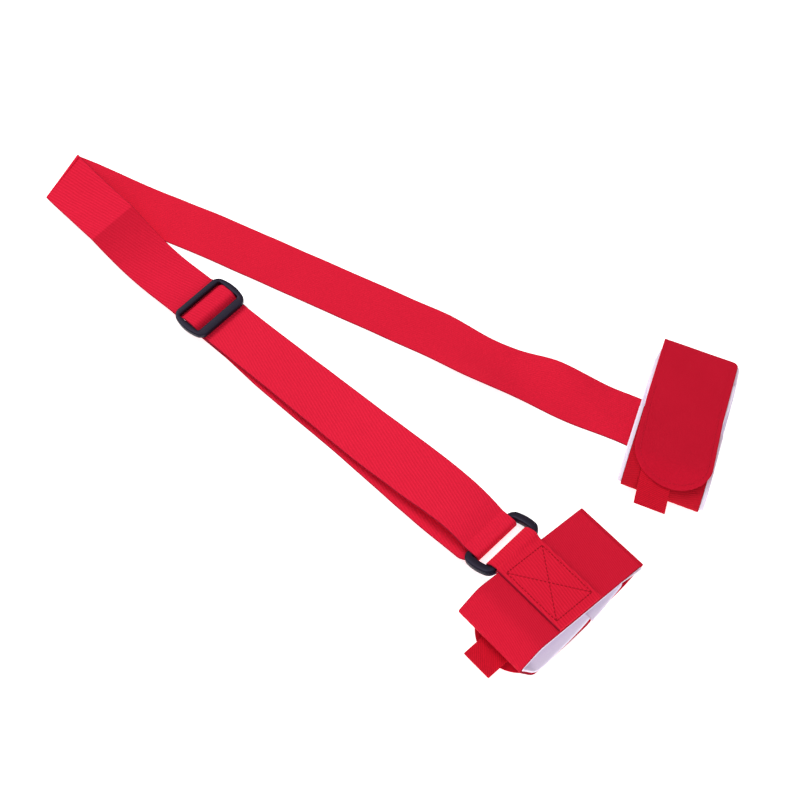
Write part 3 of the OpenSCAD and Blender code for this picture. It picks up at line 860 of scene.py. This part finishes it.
def cuff_a(p):
    """From the first cuff's own frame; its lower layers have slipped to one side."""
    p = np.array(p, float)
    p[..., 0] += CUFF_A_WIDER * (p[..., 0] - CUFF_W / 2)
    u = p[..., 1].copy()
    middle = 0.55 * np.minimum(top_z(CUFF_A_LEN, u), CUFF_H)
    lower = ease((middle - p[..., 2]) / (0.69 * np.maximum(middle, 1.0)))
    slip = CUFF_A_SLIP * np.clip((CUFF_A_LEN - 3 - u) / 70, 0, 1) * lower
    p[..., 0] += slip + CUFF_W / 2
    p[..., 1] += CUFF_A_LONGER * (u - 82)
    return CUFF_A(p)


def cuff_b(p):
    """From the second cuff's own frame; it lies out of square, with one corner chamfered."""
    pivot = 75
    p = np.array(p, float)
    w, u = p[..., 0].copy(), p[..., 1] - pivot
    corner = CUFF_W / 2 + CUFF_B_LEN - CUFF_B_CHAMFER
    over = np.maximum(0.0, w + u + pivot - corner) / 2
    w, u = w - over, u - over
    p[..., 0] = w - CUFF_B_SKEW * u + CUFF_B_X
    p[..., 1] = u - CUFF_B_SKEW * w + pivot + CUFF_B_Y
    return CUFF_B(p)


tab_slope = math.degrees(math.atan2(CUFF_H - TIP_Z, CUFF_A_LEN - NOSE_U))
tab_tilt = turned((-CUFF_W / 2, TAB_U, top_z(CUFF_A_LEN, TAB_U) + 0.1), roll=-tab_slope)


def tab_top(p):
    return cuff_a(tab_tilt(p))


def tab_bar(p):
    reach = BAR_PITCH * way(RING_TILT)
    return BAR(np.asarray(p) + np.array([reach[0], 0, reach[1]]))


TAB_EDGE = 9.7
tab_path = rounded([
    [TAB_EDGE + TAB_LEN, 4.5], [8.6, 4.5], [6.2, 1.6], [3.8, -2.9], [-1, -4.6], [-5.6, -4.2],
    [-8.1, -0.8], [-4.5, 3.7], [3, 5.9], [TAB_EDGE + TAB_LEN, 5.9]],
    [2, 2, 2.2, 2.2, 2, 2, 3, 4], n=6)
tab_at, tab_length = follow(tab_path)


def tab_surface(s, v):
    x, z = tab_at(s)
    v, z = v + 0 * s, z + 0 * v
    w = ease((x - 2.0) / (TAB_EDGE - 2.0))[..., None]
    lift = z - 4.5 + WEB_T / 2
    bar = tab_bar(np.stack([x + 0 * v, v - 0.8, z], axis=-1))
    flat = tab_top(np.stack([x - TAB_EDGE + 0 * v, v + 0.8, lift], axis=-1))
    return bar * (1 - w) + flat * w


BOX_START, BOX_END, BOX_HALF = 5.5, 61.5, 21.0
corners = [(BOX_START, -BOX_HALF), (BOX_END, -BOX_HALF), (BOX_END, BOX_HALF),
           (BOX_START, BOX_HALF)]
box_lines = [(corners[i], corners[(i + 1) % 4]) for i in range(4)] + [
    (corners[0], corners[2]), (corners[1], corners[3])]
from_end = [tuple((tab_length - TAB_LEN + x, y) for x, y in line) for line in box_lines]
lower_end, upper_start = 62, tab_length - 66
tab_stations = np.concatenate([
    np.linspace(0, lower_end, 60, endpoint=False),
    np.linspace(lower_end, upper_start, 70, endpoint=False),
    np.linspace(upper_start, tab_length, 88)])
tab = webbing("ring_tab", tab_surface, tab_stations, TAB, tab_ribs,
              under=both(grooves(from_end), tab_ribs))
up = unit(tab_top(np.array([0, 0, 1.0])) - tab_top(np.zeros(3)))
tab_thread = stitches("ring_tab_thread", [
    ([tab_top([x, y + 0.8, 2 * WEB_T + 0.02]) for x, y in line], [up, up]) for line in box_lines],
    THREAD)
fix(tab, "cuff_a", "ring_tab_loop", "ring_tab")
fix(tab_thread, "cuff_a", "ring_tab_stitching")

# ---- the two cuffs ----


def below(length, back):
    """Outer face of the first cuff's band, closed by the flap below."""
    return [[length - BUTT_BACK, 0], [length - back, 0],
            [length - back, top_z(length, length - back)], [NOSE_U, CUFF_H], [0, NOSE_Z],
            [13, LAP], [LAP_END, LAP]]


def above(length, back):
    """The same for the second cuff, closed by the flap on top."""
    return [[length - BUTT_BACK, top_z(length, length - BUTT_BACK)],
            [length - back, top_z(length, length - back)], [length - back, 0], [13, 0],
            [-2.5, 8.5], [5, 17.6], [NOSE_U + 1.5, CUFF_H - LAP - 0.3],
            [LAP_END, top_z(length, LAP_END) - LAP]]


def cut_path(path, start, end=None):
    """The part of a path between two distances along it."""
    points, run = evenly(path, 0.3)
    end = run[-1] if end is None else end
    s = np.linspace(start, end, max(3, int((end - start) / 0.3)))
    return np.column_stack([np.interp(s, run, points[:, k]) for k in (0, 1)])


def run_at(path, test):
    """Distance along a path at which a test on its points first holds."""
    points, run = evenly(path, 0.3)
    return run[int(np.argmax(test(points)))]


def rounded_end(width, reach, length, step=1.4, full=None):
    """Stations and widths of a strip whose first end is half an ellipse."""
    a = np.radians(np.linspace(4, 90, 26))
    s = np.concatenate([reach * (1 - np.cos(a)) - reach * (1 - math.cos(a[0])),
                        np.arange(reach + step, length - step / 2, step), [length]])

    def widths(at):
        base = width + ((full or width) - width) * ease((at - 0.55 * length) / (0.3 * length))
        t = np.clip(1 - (at + reach * (1 - math.cos(a[0]))) / reach, 0, 1)
        return base * np.sqrt(1 - t * t)

    return s, widths


def cloth_waves(high, seed, band):
    """A slow unevenness of a padded band, zero at its two ends."""
    def relief(s, v):
        return high * ripple(s * 0.6, v * 0.8, seed) * ease(s / 12) * ease((band - s) / 12)

    return relief


def skewed(surface, skew):
    """A flap's surface with its free end moved to one side."""
    return lambda s, v: surface(s, v - skew * np.clip(1 - s / 85, 0, 1))


class Cuff:
    """One cuff in its own frame: x across it, u along it to its narrow end, z up.

    place takes points from there to the row's frame. profile(length, back) is the outer face of
    its band, which ends back from the narrow end. side is 1 where the flap closes below the cuff
    and -1 where it closes on top.
    """

    def __init__(self, body, place, length, side, profile):
        self.body, self.flap_body = body, f"{body}_flap"
        self.place, self.length, self.side, self.profile = place, length, side, profile
        u = length - BUTT_BACK
        self.hinge = [u, self.closed_z(u)]
        self.outer = rounded(profile(length, 0), 6, side * SHELL_T / 2)
        self.turn_end = run_at(self.outer, lambda p: p[:, 0] > length - 1.6) + 5.5

    def closed_z(self, u):
        """Height of the face on which the flap closes."""
        return 0.0 if self.side > 0 else top_z(self.length, u)

    def lapped_z(self, u):
        """Height of the band's lapped end under the flap."""
        return LAP if self.side > 0 else top_z(self.length, u) - LAP

    def bend_at_hinge(self, piece, node):
        u, z = self.hinge
        ends = self.place([[0, u + 15, z], [0, u - 15, z]])
        bend(piece, self.body, self.flap_body, ends, node)

    def band(self, material):
        """The band, from the narrow end over the blunt end to the lapped end."""
        surface, size = cuff_on(self.place, cut_path(self.outer, self.turn_end))
        piece = ribbon(f"{self.body}_band", surface, np.linspace(0, size, int(size / 1.3)),
                       material, "cuff_webbing", width=CUFF_W, thick=SHELL_T, relief=band_ribs,
                       under=band_ribs)
        fix(piece, self.body, f"{self.body}_shell")

    def flap(self, lead, width, skew=0.0):
        """The flap and the narrow end it is one with; gives back its middle surface.

        lead is its outer face as far as the hinge, and its free end lies skew to one side.
        """
        square, size = cuff_on(self.place, np.vstack([
            rounded([*lead, self.hinge], 8, self.side * SHELL_T / 2),
            cut_path(self.outer, 0.3, self.turn_end)]))
        surface = skewed(square, skew)
        stations, widths = rounded_end(width, FLAP_ROUND, size, full=CUFF_W)

        def hem(s, v):
            """A groove along the stitch line, and a slight unevenness."""
            t = np.clip(1 - (s - STITCH_IN) / (FLAP_ROUND - STITCH_IN), 0, 1)
            line = np.where(s > STITCH_IN, (width / 2 - STITCH_IN) * np.sqrt(1 - t * t), 0.0)
            far = np.abs(np.abs(v) - line) + np.where(s < STITCH_IN, STITCH_IN - s, 0.0)
            uneven = 0.08 * ripple(s, v, 21) * (widths(s) / 2 > 4)
            return -0.1 * np.exp(-(far / 1.3) ** 2) + uneven

        shown = {"relief": hem} if self.side < 0 else {"under": hem}
        piece = ribbon(f"{self.body}_flap", surface, stations, FLAP, "flap_fabric",
                       width=widths, thick=SHELL_T, **shown)
        self.bend_at_hinge(piece, f"{self.body}_flap")
        return surface

    def lining(self, width, lap_width, bulge=0.0):
        """The foam inside: most of it is fixed in the cuff, and the rest is on the flap.

        Towards its lapped end the first part widens by bulge, and the second is lap_width wide.
        """
        face = self.side * (SHELL_T + 0.1 + FOAM_T / 2)
        inner = rounded(self.profile(self.length, FOAM_BACK), 6, face)
        inside_tip = self.length - FOAM_BACK - 1.6 - FOAM_T
        tip = run_at(inner, lambda p: p[:, 0] > inside_tip) + 9.0
        surface, size = cuff_on(self.place, cut_path(inner, tip))
        foam = ribbon(f"{self.body}_lining", surface, np.linspace(0, size, int(size / 2)),
                      LINING, "lining_foam", thick=FOAM_T, pitch=1.6,
                      width=lambda s: width + 1 + bulge * ease((s / size - 0.6) / 0.12),
                      relief=cloth_waves(0.35, 31, size), under=cloth_waves(0.2, 37, size))
        fix(foam, self.body, f"{self.body}_lining")

        u = LAP_END + 1.5
        start = rounded([[u, self.closed_z(u)], self.hinge], 0, face)
        surface, size = cuff_on(self.place, np.vstack([start, cut_path(inner, 0.4, tip)]))
        foam = ribbon(f"{self.body}_flap_lining", surface,
                      np.linspace(0, size, int(size / 1.6)), LINING, "lining_foam",
                      width=lambda s: lap_width + (width - lap_width) * ease(s / 42),
                      thick=FOAM_T, pitch=1.6)
        self.bend_at_hinge(foam, f"{self.body}_flap_lining")

    def lining_tip(self, width):
        """The lining's thin end between the layers of the narrow end."""
        edge = [[u, top_z(self.length, u) / 2] for u in (self.length - 27, self.length - 4.5)]
        surface, size = cuff_on(self.place, edge)
        tongue = ribbon(f"{self.body}_lining_tip",
                        lambda s, v: surface(s, v - LINING_TIP_OFF * s / size),
                        np.linspace(0, size, 14), LINING, "lining_foam",
                        width=lambda s: np.interp(s, [0, 22],
                                                  [width, CUFF_W - 0.5 + LINING_TIP_OFF]),
                        thick=1.5, pitch=2.0)
        fix(tongue, self.body, f"{self.body}_lining")

    def tapes(self):
        """Hook tape on the flap and loop tape on the band's lapped end."""
        ends, width = (28, 76), FLAP_W - 4
        path = rounded([[u, self.closed_z(u)] for u in ends], 0, self.side * (SHELL_T + 0.5))
        surface, size = cuff_on(self.place, path)
        stations, widths = rounded_end(width, FLAP_ROUND, size)
        hook = ribbon(f"{self.body}_hook_tape", surface, stations, HOOK, "hook_tape",
                      width=widths, thick=0.9, pitch=1.5)
        fix(hook, self.flap_body, f"{self.body}_hook_patch")
        path = rounded([[u, self.lapped_z(u)] for u in ends], 0, -self.side * 0.5)
        surface, size = cuff_on(self.place, path)
        loop = ribbon(f"{self.body}_loop_tape", surface, np.linspace(0, size, 32), LOOP,
                      "loop_tape", width=width, thick=0.9, pitch=1.5)
        fix(loop, self.body, f"{self.body}_loop_patch")

    def pull_tab(self, path, cut, x, knee, lean=0.0):
        """A ribbon along a path, folded over at its free end, that leans by an angle.

        knee, two points (u, z), is passed on but not used: the ribbon is not bent there.
        """
        near, far = rounded(path, cut, self.side * 0.5), rounded(path, cut, self.side * 1.6)
        at, size = follow(np.vstack([near, far[::-1]]))

        def surface(s, v):
            y, z = at(s)
            aside = (path[0][0] - y) * math.tan(math.radians(lean))
            return self.place(np.stack([x + aside - v, y + 0 * v, z + 0 * v], axis=-1))

        pull_ribs = ribs(1.5, 45, 0.05)
        tape = ribbon(f"{self.body}_pull_tab", surface, np.linspace(0, size, int(size)),
                      RIBBON, "pull_ribbon", width=PULL_W, thick=1.0, relief=pull_ribs,
                      under=pull_ribs)
        bend(tape, self.body, f"{self.body}_pull", self.place([[x, *point] for point in knee]),
             f"{self.body}_pull_tab", f"{self.body}_pull_root")


first = Cuff("cuff_a", cuff_a, CUFF_A_LEN, 1, below)
first.band(BAND)
first.flap([[-4, 0]], FLAP_W)
first.lining(69.0, 70.5, bulge=2.0)
first.lining_tip(69.0)
first.tapes()
first.pull_tab([[20, 3.65], [11.5, 3.75], [4, 5.9], [-15.4, 6.2]], 4, -1.2,
               ((11.0, 8.0), (5.0, 8.0)))

second = Cuff("cuff_b", cuff_b, CUFF_B_LEN, -1, above)
second.band(BAND_B_PAINTED_SHADE)
second_flap = second.flap([[4.5, 22.7], [NOSE_U, CUFF_H + 0.3]], FLAP_B_W, skew=3.5)
second.lining(76.5, 70.0)
second.lining_tip(76.5)
second.tapes()
second.pull_tab([[21, 24], [2, 17.2], [-13.8, 11.1]], 3, -8.0, ((4.0, 17.9), (-2.0, 17.9)),
                lean=4.0)


def stitch_line(width, stop):
    """The stitch line round a flap's rounded end, from one side to the other, as s and v."""
    a = np.radians(np.linspace(6, 90, 40))
    s = STITCH_IN + (FLAP_ROUND - STITCH_IN) * (1 - np.cos(a))
    v = (width / 2 - STITCH_IN) * np.sin(a)
    s = np.concatenate([s, np.linspace(s[-1], stop, 30)])
    v = np.concatenate([v, np.full(30, v[-1])])
    return np.concatenate([s[::-1], s]), np.concatenate([-v[::-1], v])


def on_face(surface, s, v, high):
    """Points at a height over a middle surface, and its normals there."""
    step = 0.5
    p = surface(s, v)
    n = np.cross(surface(s + step, v) - p, surface(s, v + step) - p)
    n /= np.linalg.norm(n, axis=-1, keepdims=True)
    return p + n * high, n


# the seam strays a little from its groove towards the flap's end
seam_surface = skewed(second_flap, 0.5)
flap_seam = on_face(seam_surface, *stitch_line(FLAP_B_W, 100), SHELL_T / 2)
flap_thread = stitches("cuff_b_flap_thread", [flap_seam], FLAP_THREAD)
fix(flap_thread, "cuff_b_flap", "flap_b_stitching")

# ---- the strap's end under the second cuff ----

end = webbing("strap_cuff_b_end", lower_leg, np.linspace(LEG_STOP, LEG_LEN + 63, 78), STRAP_FAR,
              long_ribs)
edge_way = np.array([*way(CUFF_B_YAW), 0])
hinge_at = np.array([LEG_END[0], LEG_END[1], WEB_T / 2])
bend(end, "long_leg", "cuff_b", [hinge_at - 8 * edge_way, hinge_at + 10 * edge_way],
     "webbing_cuff_b_end")

# ---- floor, light and camera ----

floor = bpy.data.objects.new("floor", bpy.data.meshes.new("floor"))
floor.data.from_pydata([(-4, -4, 0), (5, -4, 0), (5, 4, 0), (-4, 4, 0)], [], [(0, 1, 2, 3)])
bpy.context.scene.collection.objects.link(floor)
floor_white, _, bsdf = shader("floor")
bsdf.inputs["Base Color"].default_value = (0.9, 0.9, 0.9, 1)
bsdf.inputs["Roughness"].default_value = 0.9
bsdf.inputs["Emission Color"].default_value = (1, 1, 1, 1)
bsdf.inputs["Emission Strength"].default_value = 0.72
floor.data.materials.append(floor_white)

# the surroundings look white to the camera but light the object by AMBIENT only
AMBIENT = 0.3
world = bpy.data.worlds.new("studio")
world.use_nodes = True
tree = world.node_tree
sky = tree.nodes["Background"]
sky.inputs[0].default_value = (1, 1, 1, 1)
seen = Field(tree, tree.nodes.new("ShaderNodeLightPath").outputs[0])
tree.links.new((seen * (1 - AMBIENT) + AMBIENT).socket, sky.inputs[1])
bpy.context.scene.world = world


def area(name, at, target, size, power):
    """A square light at a place, turned to a target, both in metres."""
    light = bpy.data.lights.new(name, "AREA")
    light.shape, light.size, light.energy = "SQUARE", size, power
    obj = bpy.data.objects.new(name, light)
    obj.location = at
    obj.rotation_euler = (Vector(target) - Vector(at)).to_track_quat("-Z", "Y").to_euler()
    bpy.context.scene.collection.objects.link(obj)


area("key", (-1.3, 0.1, 1.9), (0.35, 0.05, 0), 1.1, 40)
area("fill", (1.3, -0.9, 1.1), (0.4, 0.05, 0), 1.4, 5)
area("low", (1.25, -0.55, 0.35), (0.6, 0.0, 0), 0.6, 3)
area("top", (0.35, 0.5, 1.7), (0.4, 0.05, 0), 1.0, 5)

AIM, BACK_TO_CAMERA, DISTANCE = (0.39896, 0.04725, 0.0), (0.3448, -0.3621, 0.8660), 1.395
camera = bpy.data.cameras.new("camera")
camera.lens, camera.sensor_width = 70, 36
eye = bpy.data.objects.new("camera", camera)
back = Vector(BACK_TO_CAMERA).normalized()
eye.location = Vector(AIM) + DISTANCE * back
eye.rotation_euler = back.to_track_quat("Z", "Y").to_euler()
bpy.context.scene.collection.objects.link(eye)
bpy.context.scene.camera = eye
bpy.context.scene.view_settings.view_transform = "Standard"
